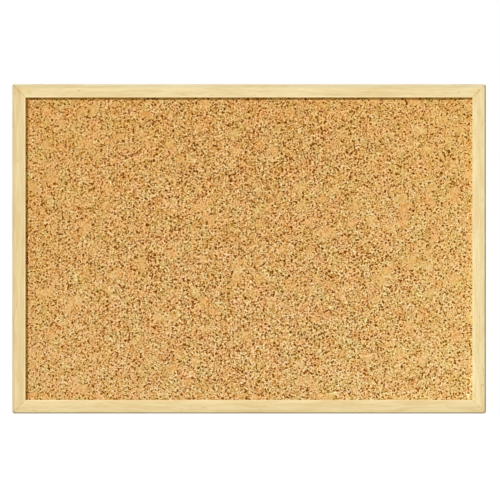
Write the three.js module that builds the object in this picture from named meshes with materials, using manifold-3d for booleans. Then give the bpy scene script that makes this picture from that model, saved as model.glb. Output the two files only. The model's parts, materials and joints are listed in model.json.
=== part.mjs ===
// Cork pin board: a cork sheet on a fibreboard core and a hardboard back, held in a mitred wooden frame
// and hung on a wall by two ring hangers.
// Millimetres. Seen from the front, X runs to the right and Z up, and Y runs back towards the wall.
// The origin is the centre of the frame's back plane, which lies on the wall.
import * as THREE from "three";
import { mergeVertices } from "three/addons/utils/BufferGeometryUtils.js";
import Module from "manifold-3d";

const wasm = await Module();
wasm.setup();

// Driving dimensions: the frame
const boardWidth = 420;
const boardHeight = 292;
const frameFace = 12; // width of the moulding, seen from the front
const frameDepth = 15;
const lipOverlap = 4; // how far the moulding's front lip covers the cork
const lipThickness = 2.5;
const outerArrisRadius = 1.5;
const innerArrisRadius = 0.4;
const backArrisRadius = 0.5;
const cornerRadius = 2.6; // rounding of the frame's four outer corners
const mitreGap = 0.3; // glue line of the mitre

// Driving dimensions: the panel behind the lip
const corkThickness = 2;
const coreThickness = 4;
const hardboardThickness = 2.5;
const panelClearance = 0.5; // between the panel's edges and the rebate
const glueLine = 0.1; // between stacked sheets, and under what is seated on them

// Driving dimensions: the steel that holds it together
const cornerNailLeg = 3.5;
const cornerNailThickness = 0.5;
const cornerNailHeight = 7;
const cornerNailHalfAngle = 50; // degrees between a leg and the mitre
const cornerNailSink = 0.4; // how far it is driven below the frame's back
const pointsPerRail = 4;
const pointsPerStile = 3;
const pointWidth = 5;
const pointThickness = 0.5;
const pointReach = 5; // length over the panel
const pointBite = 5; // length in the wood
const pointTip = 2.5; // length of the tapered end
const nailFit = 0.25; // room around nails and points in the wood

// Driving dimensions: the ring hangers
const hangerInset = 70; // from the frame's side to the middle of a hanger
const hangerDrop = 36; // from the top of the frame to the rings' axis
const strapWidth = 10;
const strapThickness = 0.6;
const strapEndMargin = 2; // strap beyond the eyelet's flange
const ringWire = 1.6;
const ringPlay = 0.25; // radial room around the wire in the strap's eye
const ringSidePlay = 0.7; // between the strap's edges and the ring's bends
const ringBend = 2; // bend radius of the wire's centreline
const ringSide = 0.5; // straight wire between a bend and the arch
const ringButtGap = 0.5; // between the ends of the bent wire
const eyeCurl = 200; // degrees that the strap's curled end reaches, from the strap's own direction
const eyeletShankRadius = 1.5;
const eyeletBoreRadius = 1;
const eyeletFlangeRadius = 2.75;
const eyeletFlangeThickness = 0.5;
const eyeletFit = 0.2; // radial room around the eyelet

// Facets of round shapes
const arrisSegments = 6;
const curlSegments = 28;
const turnedSegments = 24;
const wireSides = 10;
const ringSteps = 56;
const cutMargin = 1; // how far a cutting solid runs past what it cuts

// Levels along Y, from the lip to the wall
const frontY = -frameDepth;
const lipBackY = frontY + lipThickness;
const corkFrontY = lipBackY + glueLine;
const coreFrontY = corkFrontY + corkThickness + glueLine;
const hardboardFrontY = coreFrontY + coreThickness + glueLine;
const hardboardBackY = hardboardFrontY + hardboardThickness;
const seatY = hardboardBackY + glueLine; // underside of the straps and points

// Sizes that follow from the driving ones
const rebateWall = frameFace - lipOverlap; // wood outside the panel
const panelWidth = boardWidth - 2 * (rebateWall + panelClearance);
const panelHeight = boardHeight - 2 * (rebateWall + panelClearance);
const eyeInnerRadius = ringWire / 2 + ringPlay;
const eyeOuterRadius = eyeInnerRadius + strapThickness;
const eyeletDrop = eyeOuterRadius + eyeletFlangeRadius; // from the ring's axis to the eyelet
const strapLength = eyeletDrop + eyeletFlangeRadius + strapEndMargin;
const ringHalfWidth = strapWidth / 2 + ringSidePlay + ringBend;
const ringArchZ = -ringBend - ringSide; // centre of the ring's arch
const hangerAxisZ = boardHeight / 2 - hangerDrop;
const hangerAxisY = seatY + eyeOuterRadius;
const eyeletZ = hangerAxisZ - eyeletDrop;
const hangerX = { left: -boardWidth / 2 + hangerInset, right: boardWidth / 2 - hangerInset };

// Materials
const finish = (color, roughness, metalness) =>
  new THREE.MeshStandardMaterial({ color, roughness, metalness });
const paleWood = finish(0xebd49b, 0.55, 0);
const cork = finish(0xd2a361, 0.9, 0);
const fibreboard = finish(0xb08a5c, 0.95, 0);
const hardboard = finish(0x6e4a2c, 0.6, 0);
const nailSteel = finish(0x8a8c90, 0.4, 1);
const zincSteel = finish(0xc9ccd0, 0.3, 1);

// A geometry as a solid that can be joined and cut
function solidOf(geometry) {
  const bare = geometry.index ? geometry.toNonIndexed() : geometry.clone();
  bare.deleteAttribute("normal");
  bare.deleteAttribute("uv");
  const merged = mergeVertices(bare);
  return new wasm.Manifold(
    new wasm.Mesh({
      numProp: 3,
      vertProperties: new Float32Array(merged.attributes.position.array),
      triVerts: new Uint32Array(merged.index.array),
    }),
  );
}

function geometryOf(solid) {
  const made = solid.getMesh();
  const geometry = new THREE.BufferGeometry();
  geometry.setAttribute("position", new THREE.BufferAttribute(made.vertProperties, 3));
  geometry.setIndex(new THREE.BufferAttribute(made.triVerts, 1));
  geometry.computeVertexNormals();
  return geometry;
}

const cutFrom = (solid, cutters) => cutters.reduce((left, cutter) => left.subtract(solidOf(cutter)), solid);

function meshOf(name, geometry, material) {
  const mesh = new THREE.Mesh(geometry, material);
  mesh.name = name;
  return mesh;
}

// A prism whose outline lies in the plane of the board, as x and z, between two levels of Y
function plate(outline, fromY, toY, curveSegments = arrisSegments) {
  const depth = toY - fromY;
  const geometry = new THREE.ExtrudeGeometry(outline, { depth, bevelEnabled: false, curveSegments });
  return geometry.rotateX(Math.PI / 2).translate(0, toY, 0);
}

// A bar along X, centred on it, whose section is drawn as y and z
function bar(section, length, curveSegments) {
  const geometry = new THREE.ExtrudeGeometry(section, { depth: length, bevelEnabled: false, curveSegments });
  const axes = [new THREE.Vector3(0, 1, 0), new THREE.Vector3(0, 0, 1), new THREE.Vector3(1, 0, 0)];
  return geometry.applyMatrix4(new THREE.Matrix4().makeBasis(...axes)).translate(-length / 2, 0, 0);
}

function polygon(points) {
  return new THREE.Shape(points.map(([x, z]) => new THREE.Vector2(x, z)));
}

// A turned ring about Y: its section, as radius and y, runs up the outside and down the bore
function turnedRing(section) {
  const points = [...section, section[0]].map(([radius, y]) => new THREE.Vector2(radius, y));
  return new THREE.LatheGeometry(points, turnedSegments);
}

function drill(radius, x, z, fromY, toY) {
  const length = toY - fromY;
  return new THREE.CylinderGeometry(radius, radius, length, turnedSegments).translate(x, fromY + length / 2, z);
}

// The frame. A side lies along X, with its outer edge on z = 0 and its inner edge below it.
function mouldingSection() {
  const section = new THREE.Shape();
  section.moveTo(-backArrisRadius, 0);
  section.lineTo(frontY + outerArrisRadius, 0);
  section.absarc(frontY + outerArrisRadius, -outerArrisRadius, outerArrisRadius, Math.PI / 2, Math.PI, false);
  section.lineTo(frontY, -frameFace + innerArrisRadius);
  section.absarc(
    frontY + innerArrisRadius,
    -frameFace + innerArrisRadius,
    innerArrisRadius,
    Math.PI,
    1.5 * Math.PI,
    false,
  );
  section.lineTo(lipBackY, -frameFace);
  section.lineTo(lipBackY, -rebateWall);
  section.lineTo(0, -rebateWall);
  section.lineTo(0, -backArrisRadius);
  section.absarc(-backArrisRadius, -backArrisRadius, backArrisRadius, 0, Math.PI / 2, false);
  return section;
}

// What a side keeps between its two mitres, with half a glue line left at each
function mitredOutline(length) {
  const outer = length / 2 + cutMargin - mitreGap * Math.SQRT1_2;
  const inner = outer - frameFace - 2 * cutMargin;
  return polygon([
    [-outer, cutMargin],
    [-inner, -frameFace - cutMargin],
    [inner, -frameFace - cutMargin],
    [outer, cutMargin],
  ]);
}

// What a side keeps inside the frame's rounded outer corners
function roundedOutline(length) {
  const half = length / 2;
  const foot = -frameFace - cutMargin;
  const outline = new THREE.Shape();
  outline.moveTo(-half, foot);
  outline.lineTo(half, foot);
  outline.lineTo(half, -cornerRadius);
  outline.absarc(half - cornerRadius, -cornerRadius, cornerRadius, 0, Math.PI / 2, false);
  outline.lineTo(-half + cornerRadius, 0);
  outline.absarc(-half + cornerRadius, -cornerRadius, cornerRadius, Math.PI / 2, Math.PI, false);
  return outline;
}

// A nail bent to a V that straddles a mitre. Its tip points to the frame's outer corner, which is x = z = 0,
// and the corner's two sides run towards -x and -z. With room, it is the slot that the nail sits in.
function cornerNail(room) {
  const halfAngle = THREE.MathUtils.degToRad(cornerNailHalfAngle);
  const inwards = new THREE.Vector2(-Math.SQRT1_2, -Math.SQRT1_2);
  const across = new THREE.Vector2(-Math.SQRT1_2, Math.SQRT1_2);
  const along = cornerNailLeg * Math.cos(halfAngle);
  const side = cornerNailLeg * Math.sin(halfAngle);
  const tip = rebateWall * Math.SQRT1_2 - along / 2; // centres the V on the mitre behind the rebate
  const half = (cornerNailThickness / 2 + room) / Math.sin(halfAngle);
  const end = room * Math.cos(halfAngle);
  const sideEnd = side + room * Math.sin(halfAngle);
  const at = (a, b) => {
    const p = inwards.clone().multiplyScalar(a).addScaledVector(across, b);
    return [p.x, p.y];
  };
  const outline = polygon([
    at(tip - half, 0),
    at(tip + along + end - half, sideEnd),
    at(tip + along + end + half, sideEnd),
    at(tip + half, 0),
    at(tip + along + end + half, -sideEnd),
    at(tip + along + end - half, -sideEnd),
  ]);
  const backY = -cornerNailSink;
  const openY = room > 0 ? cutMargin : backY;
  return plate(outline, backY - cornerNailHeight - room, openY);
}

// A flat steel point, driven through the rebate's wall over the panel's back. With room, it is its slot.
function panelPoint(room) {
  const half = pointWidth / 2 + room;
  const tipZ = -rebateWall + pointBite + room;
  const outline = polygon([
    [-half, -rebateWall - pointReach - room],
    [half, -rebateWall - pointReach - room],
    [half, tipZ - pointTip],
    [0, tipZ],
    [-half, tipZ - pointTip],
  ]);
  return plate(outline, seatY - room, seatY + pointThickness + room);
}

// Where the points stand along a side, evenly over its rebate
function pointPlaces(length, count) {
  const rebateLength = length - 2 * rebateWall;
  return Array.from({ length: count }, (_, i) => ((i + 0.5) / count - 0.5) * rebateLength);
}

function frameSide(name, length, pointCount) {
  const side = new THREE.Group();
  const places = pointPlaces(length, pointCount);
  const blank = solidOf(bar(mouldingSection(), length, arrisSegments))
    .intersect(solidOf(plate(mitredOutline(length), frontY - cutMargin, cutMargin)))
    .intersect(solidOf(plate(roundedOutline(length), frontY - cutMargin, cutMargin)));
  const rightNailSlot = cornerNail(nailFit).translate(length / 2, 0, 0);
  const leftNailSlot = cornerNail(nailFit).rotateY(-Math.PI / 2).translate(-length / 2, 0, 0);
  const pointSlots = places.map((x) => panelPoint(nailFit).translate(x, 0, 0));
  const rail = cutFrom(blank, [rightNailSlot, leftNailSlot, ...pointSlots]);
  side.add(meshOf(`frame_${name}`, geometryOf(rail), paleWood));
  places.forEach((x, i) => {
    const point = meshOf(`panel_point_${name}_${i + 1}`, panelPoint(0), nailSteel);
    point.position.x = x;
    side.add(point);
  });
  return side;
}

function frame() {
  const group = new THREE.Group();
  const sides = [
    { name: "top", length: boardWidth, count: pointsPerRail, turn: 0, x: 0, z: boardHeight / 2 },
    { name: "right", length: boardHeight, count: pointsPerStile, turn: 0.5, x: boardWidth / 2, z: 0 },
    { name: "bottom", length: boardWidth, count: pointsPerRail, turn: 1, x: 0, z: -boardHeight / 2 },
    { name: "left", length: boardHeight, count: pointsPerStile, turn: -0.5, x: -boardWidth / 2, z: 0 },
  ];
  for (const { name, length, count, turn, x, z } of sides) {
    const side = frameSide(name, length, count);
    side.rotation.y = turn * Math.PI;
    side.position.set(x, 0, z);
    group.add(side);
  }
  const corners = [
    { name: "top_right", turn: 0, x: 1, z: 1 },
    { name: "bottom_right", turn: 0.5, x: 1, z: -1 },
    { name: "bottom_left", turn: 1, x: -1, z: -1 },
    { name: "top_left", turn: -0.5, x: -1, z: 1 },
  ];
  for (const { name, turn, x, z } of corners) {
    const nail = meshOf(`corner_nail_${name}`, cornerNail(0), nailSteel);
    nail.rotation.y = turn * Math.PI;
    nail.position.set((x * boardWidth) / 2, 0, (z * boardHeight) / 2);
    group.add(nail);
  }
  return group;
}

// The panel: three sheets of one size, with the eyelets' holes in the hardboard and pockets in the core
function sheet(thickness) {
  return new THREE.BoxGeometry(panelWidth, thickness, panelHeight);
}

function panel() {
  const group = new THREE.Group();
  const hangerXs = Object.values(hangerX);
  const corkSheet = meshOf("cork_sheet", sheet(corkThickness), cork);
  corkSheet.position.y = corkFrontY + corkThickness / 2;

  const pocketDepth = eyeletFlangeThickness + eyeletFit;
  const coreBackY = coreFrontY + coreThickness;
  const pockets = hangerXs.map((x) =>
    drill(eyeletFlangeRadius + eyeletFit, x, eyeletZ, coreBackY - pocketDepth, coreBackY + cutMargin),
  );
  const coreBlank = sheet(coreThickness).translate(0, coreFrontY + coreThickness / 2, 0);
  const core = meshOf("fibreboard_core", geometryOf(cutFrom(solidOf(coreBlank), pockets)), fibreboard);

  const holes = hangerXs.map((x) =>
    drill(eyeletShankRadius + eyeletFit, x, eyeletZ, hardboardFrontY - cutMargin, hardboardBackY + cutMargin),
  );
  const backBlank = sheet(hardboardThickness).translate(0, hardboardFrontY + hardboardThickness / 2, 0);
  const back = meshOf("hardboard_back", geometryOf(cutFrom(solidOf(backBlank), holes)), hardboard);

  group.add(corkSheet, core, back);
  return group;
}

// A hanger hangs from its ring's axis, which is y = z = 0, with the strap below it against the hardboard
function strap() {
  const curlEnd = THREE.MathUtils.degToRad(eyeCurl);
  const bottom = -Math.PI / 2;
  const seat = -eyeOuterRadius;
  const section = new THREE.Shape(); // drawn along the strap, as x, and away from the hardboard, as y
  section.moveTo(-strapLength, seat);
  section.lineTo(0, seat);
  section.absarc(0, 0, eyeOuterRadius, bottom, curlEnd, false);
  section.absarc(0, 0, eyeInnerRadius, curlEnd, bottom, true);
  section.lineTo(-strapLength, seat + strapThickness);
  const strip = new THREE.ExtrudeGeometry(section, {
    depth: strapWidth,
    bevelEnabled: false,
    curveSegments: curlSegments,
  });
  strip.translate(0, 0, -strapWidth / 2).rotateY(-Math.PI / 2);

  const endRadius = strapWidth / 2;
  const outline = new THREE.Shape(); // rounds the strap's lower end
  outline.moveTo(endRadius, eyeOuterRadius + cutMargin);
  outline.lineTo(-endRadius, eyeOuterRadius + cutMargin);
  outline.lineTo(-endRadius, -strapLength + endRadius);
  outline.absarc(0, -strapLength + endRadius, endRadius, Math.PI, 2 * Math.PI, false);
  const reach = eyeOuterRadius + cutMargin;
  const rounded = solidOf(strip).intersect(solidOf(plate(outline, -reach, reach, curlSegments)));
  const hole = drill(eyeletShankRadius + eyeletFit, 0, -eyeletDrop, -reach, 0);
  return geometryOf(cutFrom(rounded, [hole]));
}

// The ring's wire: from the butt in the middle of its bar round both bends and the arch, as x and z
class RingLine extends THREE.Curve {
  constructor() {
    super();
    const straight = ringHalfWidth - ringBend;
    this.path = new THREE.Path();
    this.path.moveTo(ringButtGap / 2, 0);
    this.path.lineTo(straight, 0);
    this.path.absarc(straight, -ringBend, ringBend, Math.PI / 2, 0, true);
    this.path.lineTo(ringHalfWidth, ringArchZ);
    this.path.absarc(0, ringArchZ, ringHalfWidth, 0, -Math.PI, true);
    this.path.lineTo(-ringHalfWidth, -ringBend);
    this.path.absarc(-straight, -ringBend, ringBend, Math.PI, Math.PI / 2, true);
    this.path.lineTo(-ringButtGap / 2, 0);
  }

  getPoint(t, target = new THREE.Vector3()) {
    const p = this.path.getPointAt(t);
    return target.set(p.x, 0, p.y);
  }
}

function ring() {
  const section = polygon(
    Array.from({ length: wireSides }, (_, i) => {
      const angle = (2 * Math.PI * i) / wireSides;
      return [(ringWire / 2) * Math.cos(angle), (ringWire / 2) * Math.sin(angle)];
    }),
  );
  return new THREE.ExtrudeGeometry(section, { steps: ringSteps, extrudePath: new RingLine() });
}

// A hollow eyelet clinched through the strap and the hardboard
function eyelet() {
  const innerFlangeY = hardboardFrontY - glueLine;
  const outerFlangeY = seatY + strapThickness + glueLine;
  return turnedRing([
    [eyeletBoreRadius, innerFlangeY - eyeletFlangeThickness],
    [eyeletFlangeRadius, innerFlangeY - eyeletFlangeThickness],
    [eyeletFlangeRadius, innerFlangeY],
    [eyeletShankRadius, innerFlangeY],
    [eyeletShankRadius, outerFlangeY],
    [eyeletFlangeRadius, outerFlangeY],
    [eyeletFlangeRadius, outerFlangeY + eyeletFlangeThickness / 2],
    [eyeletFlangeRadius - eyeletFlangeThickness / 2, outerFlangeY + eyeletFlangeThickness],
    [eyeletBoreRadius, outerFlangeY + eyeletFlangeThickness],
  ]);
}

function hanger(name, x) {
  const group = new THREE.Group();
  const strapMesh = meshOf(`hanger_strap_${name}`, strap(), zincSteel);
  strapMesh.position.set(x, hangerAxisY, hangerAxisZ);
  const ringMesh = meshOf(`hanger_ring_${name}`, ring(), zincSteel);
  ringMesh.position.set(x, hangerAxisY, hangerAxisZ);
  const eyeletMesh = meshOf(`hanger_eyelet_${name}`, eyelet(), zincSteel);
  eyeletMesh.position.set(x, 0, eyeletZ);
  group.add(strapMesh, ringMesh, eyeletMesh);
  return group;
}

const board = new THREE.Group();
board.name = "pin_board";
board.add(frame(), panel());
for (const [name, x] of Object.entries(hangerX)) {
  board.add(hanger(name, x));
}

export default board;
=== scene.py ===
import json
import math
import bmesh
import bpy
from mathutils import Matrix, Vector


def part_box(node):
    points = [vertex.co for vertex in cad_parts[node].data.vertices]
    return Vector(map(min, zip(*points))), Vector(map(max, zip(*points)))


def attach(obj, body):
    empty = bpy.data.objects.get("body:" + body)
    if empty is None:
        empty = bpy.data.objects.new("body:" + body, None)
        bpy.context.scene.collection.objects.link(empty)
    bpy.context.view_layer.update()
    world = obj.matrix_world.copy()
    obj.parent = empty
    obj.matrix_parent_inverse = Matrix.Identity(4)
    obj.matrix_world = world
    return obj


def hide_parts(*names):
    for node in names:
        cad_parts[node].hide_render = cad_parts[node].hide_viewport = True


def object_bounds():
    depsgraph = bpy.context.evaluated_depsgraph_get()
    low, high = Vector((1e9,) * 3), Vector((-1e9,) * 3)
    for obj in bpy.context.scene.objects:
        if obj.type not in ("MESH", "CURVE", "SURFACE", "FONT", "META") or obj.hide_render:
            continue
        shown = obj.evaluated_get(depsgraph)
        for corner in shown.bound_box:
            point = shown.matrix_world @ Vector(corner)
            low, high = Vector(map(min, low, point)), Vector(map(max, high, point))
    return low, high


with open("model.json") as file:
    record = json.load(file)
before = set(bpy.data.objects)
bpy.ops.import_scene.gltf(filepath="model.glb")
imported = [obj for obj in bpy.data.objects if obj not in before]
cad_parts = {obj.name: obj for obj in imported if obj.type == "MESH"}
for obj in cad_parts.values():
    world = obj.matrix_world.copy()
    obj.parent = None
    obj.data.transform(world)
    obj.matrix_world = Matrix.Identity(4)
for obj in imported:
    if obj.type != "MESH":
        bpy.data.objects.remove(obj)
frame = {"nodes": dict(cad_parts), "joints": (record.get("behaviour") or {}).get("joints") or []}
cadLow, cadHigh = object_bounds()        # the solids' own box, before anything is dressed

mm = 0.001
same = 1e-6  # points no further apart than this, in metres, are one
print("frame loaded:", len(frame["nodes"]), "nodes")

topLow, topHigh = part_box("frame_top")
railFace = topHigh.z - topLow.z
railDepth = topHigh.y - topLow.y
boardSize = cadHigh - cadLow
openingHalf = boardSize / 2 - Vector((railFace, 0, railFace))


# colours are written as they look on screen, 0 to 255, and turned into the shader's linear values
def screenColor(red, green, blue):
    def linear(level):
        level = min(max(level / 255, 0), 1)
        return level / 12.92 if level <= 0.04045 else ((level + 0.055) / 1.055) ** 2.4
    return (linear(red), linear(green), linear(blue), 1)


# node helpers: an input is a fixed value or a socket to link from
def addNode(tree, kind, inputs=None, **settings):
    node = tree.nodes.new(kind)
    for name, value in settings.items():
        setattr(node, name, value)
    for socket, value in (inputs or {}).items():
        if isinstance(value, bpy.types.NodeSocket):
            tree.links.new(value, node.inputs[socket])
        else:
            node.inputs[socket].default_value = value
    return node


def calc(tree, operation, first, second=0.0, third=0.0):
    inputs = {0: first, 1: second, 2: third}
    return addNode(tree, "ShaderNodeMath", inputs, operation=operation).outputs[0]


def vectorCalc(tree, operation, *values):
    node = addNode(tree, "ShaderNodeVectorMath", dict(enumerate(values)), operation=operation)
    return node.outputs["Value" if operation == "DISTANCE" else "Vector"]


def split(tree, vector):  # the three parts of a place or of a random colour
    return addNode(tree, "ShaderNodeSeparateXYZ", {0: vector}).outputs


def centred(tree, value):  # 0 to 1 becomes -0.5 to 0.5
    return calc(tree, "SUBTRACT", value, 0.5)


def remap(tree, value, low, high, toLow=0.0, toHigh=1.0, smooth=True):
    kind = "SMOOTHSTEP" if smooth else "LINEAR"
    inputs = {"Value": value, "From Min": low, "From Max": high, "To Min": toLow, "To Max": toHigh}
    return addNode(tree, "ShaderNodeMapRange", inputs, interpolation_type=kind).outputs["Result"]


def blend(tree, factor, first, second, how="MIX"):
    inputs = {0: factor, 6: first, 7: second}  # 6 and 7 are the node's two colours
    return addNode(tree, "ShaderNodeMix", inputs, data_type="RGBA", blend_type=how).outputs[2]


def multiplied(tree, color, tint):
    return blend(tree, 1.0, color, tint, "MULTIPLY")


def tinted(tree, color, mask, tint):  # multiplied by the tint where the mask is 1
    return blend(tree, mask, color, multiplied(tree, color, tint))


def ramp(tree, value, stops):  # stops: place along the ramp and colour
    node = addNode(tree, "ShaderNodeValToRGB", {"Fac": value})
    marks = node.color_ramp.elements
    while len(marks) < len(stops):
        marks.new(0.5)
    for mark, (place, color) in zip(marks, stops):
        mark.position = place
        mark.color = color
    return node.outputs["Color"]


def stretched(tree, vector, scale, turn=(0, 0, 0), shift=(0, 0, 0)):
    inputs = {"Vector": vector, "Location": shift, "Rotation": turn, "Scale": scale}
    return addNode(tree, "ShaderNodeMapping", inputs).outputs["Vector"]


def turned(tree, vector, angle, scale, axis="Z"):  # turned about an axis and then stretched
    inputs = {"Vector": vector, "Angle": angle}
    spun = addNode(tree, "ShaderNodeVectorRotate", inputs, rotation_type=axis + "_AXIS")
    return vectorCalc(tree, "MULTIPLY", spun.outputs[0], scale)


def pushed(tree, vector, color, reach):  # a place pushed aside by a random colour
    return vectorCalc(tree, "MULTIPLY_ADD", color, (reach, reach, reach), vector)


def noise(tree, vector, scale=1.0, detail=2.0, rough=0.5, flat=False):
    inputs = {"Vector": vector, "Scale": scale, "Detail": detail, "Roughness": rough}
    kind = "2D" if flat else "3D"
    return addNode(tree, "ShaderNodeTexNoise", inputs, noise_dimensions=kind).outputs


def cells(tree, vector, size, feature="F1"):  # flat cells of about that size
    inputs = {"Vector": vector, "Scale": 1 / size}
    kinds = {"voronoi_dimensions": "2D", "feature": feature}
    return addNode(tree, "ShaderNodeTexVoronoi", inputs, **kinds).outputs


# a node group that gives out what the function builds from the group's inputs
def newGroup(name, inputs, build, kind="ShaderNodeTree", outputKind="Float"):
    tree = bpy.data.node_groups.new(name, kind)

    def addSocket(socketName, direction, socketKind):
        socketType = "NodeSocket" + socketKind
        tree.interface.new_socket(socketName, in_out=direction, socket_type=socketType)

    for socketName, socketKind in inputs.items():
        addSocket(socketName, "INPUT", socketKind)
    built = build(tree, tree.nodes.new("NodeGroupInput").outputs)
    for socketName in built:
        addSocket(socketName, "OUTPUT", outputKind)
    result = tree.nodes.new("NodeGroupOutput")
    for socketName, socket in built.items():
        tree.links.new(socket, result.inputs[socketName])
    return tree


def useGroup(tree, group, inputs):
    return addNode(tree, "ShaderNodeGroup", inputs, node_tree=group).outputs


def newMaterial(name, fixed):  # fixed: what is the same all over, set on the shader itself
    material = bpy.data.materials.new(name)
    material.use_nodes = True
    tree = material.node_tree
    shader = tree.nodes["Principled BSDF"]
    for socket, value in fixed.items():
        shader.inputs[socket].default_value = value
    return material, tree, shader


def objectPlace(tree):
    return tree.nodes.new("ShaderNodeTexCoord").outputs["Object"]


def addBump(tree, shader, height, strength, distance):
    inputs = {"Height": height, "Strength": strength, "Distance": distance}
    bump = addNode(tree, "ShaderNodeBump", inputs)
    tree.links.new(bump.outputs["Normal"], shader.inputs["Normal"])


# mesh helpers
def shadeByAngle(bm, degrees=35):
    limit = math.radians(degrees)
    for face in bm.faces:
        face.smooth = True
    for edge in bm.edges:
        edge.smooth = len(edge.link_faces) == 2 and edge.calc_face_angle(0) < limit


def roundOver(bm, edges, radius, segments):
    bmesh.ops.bevel(bm, geom=edges, offset=radius, affect="EDGES", segments=segments, profile=0.5,
                    material=-1, clamp_overlap=True)


def easeEdges(bm, radius, segments=1, degrees=40):  # breaks every sharp edge
    sharp = [edge for edge in bm.edges if edge.calc_face_angle(0) > math.radians(degrees)]
    roundOver(bm, sharp, radius, segments)


def ofKind(geom, kind):
    return [part for part in geom if isinstance(part, kind)]


def runStraight(bm, face, step):  # pulls a face out and gives back the new end
    pulled = bmesh.ops.extrude_face_region(bm, geom=[face])["geom"]
    bmesh.ops.translate(bm, vec=step, verts=ofKind(pulled, bmesh.types.BMVert))
    return ofKind(pulled, bmesh.types.BMFace)[0]


def runRound(bm, face, middle, axis, degrees, steps):  # the same along an arc
    swept = bmesh.ops.spin(bm, geom=[face], cent=middle, axis=axis, angle=math.radians(degrees),
                           steps=steps, use_merge=False, use_duplicate=False)
    return ofKind(swept["geom_last"], bmesh.types.BMFace)[0]


def faceOutward(bm):
    bmesh.ops.recalc_face_normals(bm, faces=bm.faces)


def dropInside(bm):  # the faces that the runs leave inside, where they join
    inside = [face for face in bm.faces if all(len(edge.link_faces) > 2 for edge in face.edges)]
    bmesh.ops.delete(bm, geom=inside, context="FACES_ONLY")


def placed(bm, turn, spot):  # turned about Y, then moved
    matrix = Matrix.Translation(spot) @ Matrix.Rotation(turn, 4, "Y")
    bmesh.ops.transform(bm, matrix=matrix, verts=bm.verts)
    return bm


def facing(spot, axis):  # a quarter turn about an axis, at a spot
    return Matrix.Translation(spot) @ Matrix.Rotation(math.radians(90), 4, axis)


def newObject(name, bm, material):
    mesh = bpy.data.meshes.new(name)
    bm.to_mesh(mesh)
    bm.free()
    mesh.materials.append(material)
    made = bpy.data.objects.new(name, mesh)
    bpy.context.scene.collection.objects.link(made)
    return made


def dress(made, body, slot, *nodes):  # the piece rides on a body and stands for these solids
    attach(made, body)
    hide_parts(*nodes)


def applyTool(made, tool):
    with bpy.context.temp_override(object=made):
        bpy.ops.object.modifier_apply(modifier=tool.name)


def cutOut(made, cutter):
    tool = made.modifiers.new("cut", "BOOLEAN")
    tool.operation = "DIFFERENCE"
    tool.solver = "EXACT"
    tool.object = cutter
    applyTool(made, tool)
    bpy.data.objects.remove(cutter)


# pale wood: the grain runs along X of the vector it is given, in metres
grainLook = {
    "wander": {"scale": 16.0, "detail": 1.0},  # bends the grain
    "wanderReach": 6 * mm,
    "fibreHeight": 0.5,  # of a fleck's depth
}
# repeats per metre along and across the grain, and where the noise of each layer fades in
grainLayers = {
    "Streak": {"repeats": (24, 280, 280), "shift": (0, 0, 0), "range": (0.25, 0.75),
               "noise": {"detail": 3.0, "rough": 0.55}},
    "Fibre": {"repeats": (45, 1500, 1500), "shift": (0, 0, 0), "range": (0.3, 0.7),
              "noise": {"rough": 0.6}},
    "Fleck": {"repeats": (120, 900, 900), "shift": (3, 5, 7), "range": (0.68, 0.78),
              "noise": {"detail": 1.0}},
}


def grainMasks(tree, given):
    vector = given["Vector"]
    wander = noise(tree, vector, **grainLook["wander"])["Color"]
    bent = pushed(tree, vector, wander, grainLook["wanderReach"])
    masks = {}
    for name, layer in grainLayers.items():
        way = stretched(tree, bent, layer["repeats"], shift=layer["shift"])
        masks[name] = remap(tree, noise(tree, way, **layer["noise"])["Fac"], *layer["range"])
    raised = calc(tree, "MULTIPLY", masks["Fibre"], grainLook["fibreHeight"])
    masks["Height"] = calc(tree, "SUBTRACT", raised, masks["Fleck"])
    return masks


woodLook = {
    "pale": screenColor(245, 225, 171),
    "deep": screenColor(231, 205, 147),
    "fleck": screenColor(205, 170, 108),
    "fibreSwing": 0.8,  # how far the fine fibres change the tone, of the step from deep to pale
    "fleckDepth": 0.7,  # how fully a fleck shows
    "rough": 0.55,
    "shine": 0.25,
    "bump": 0.25,
    "bumpDepth": 0.05 * mm,
    "blotch": {"scale": 260.0, "rough": 0.6},  # makes glue and marks uneven
    "blotchRange": (0.35, 0.65),
    "edgeDepth": 0.6 * mm,  # how far the painted shade on the outer arris reaches down the side
    "edgeFade": 0.6,  # share of its width over which it fades
    "lipWidth": 1.6 * mm,  # the strip along the opening that gets a painted highlight
    "lipFade": 0.4 * mm,
    "glueWidth": 0.9 * mm,  # old glue along a mitre
    "glueCore": 0.2,  # share of it that shows fully
    "glue": (0.86, 0.84, 0.73, 1),
    "markCore": 0.2,  # the same of a mark
    "markRagged": 2.0,  # how far the blotches move its edge, of its reach
}
# what each side's wood is multiplied by: all of it, its outer arris where shade is painted, and its
# strip along the opening where a highlight is painted
sideTints = {
    "top": {"all": (0.985, 0.985, 0.985, 1), "edge": (0.84, 0.88, 0.98, 1), "edgeWidth": 4.6 * mm,
            "lip": (1.13, 1.12, 1.14, 1)},
    "right": {"all": (0.995, 1.0, 1.0, 1), "edge": (0.50, 0.53, 0.58, 1), "edgeWidth": 1.9 * mm,
              "lip": (1.02, 1.02, 1.02, 1)},
    "bottom": {"all": (0.945, 0.925, 0.90, 1), "edge": (0.62, 0.64, 0.72, 1), "edgeWidth": 1.7 * mm,
               "lip": (1.06, 1.05, 1.07, 1)},
    "left": {"all": (0.925, 0.90, 0.88, 1), "edge": (0.80, 0.83, 0.95, 1), "edgeWidth": 3.2 * mm,
             "lip": (1.20, 1.20, 1.26, 1)},
}
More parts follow.
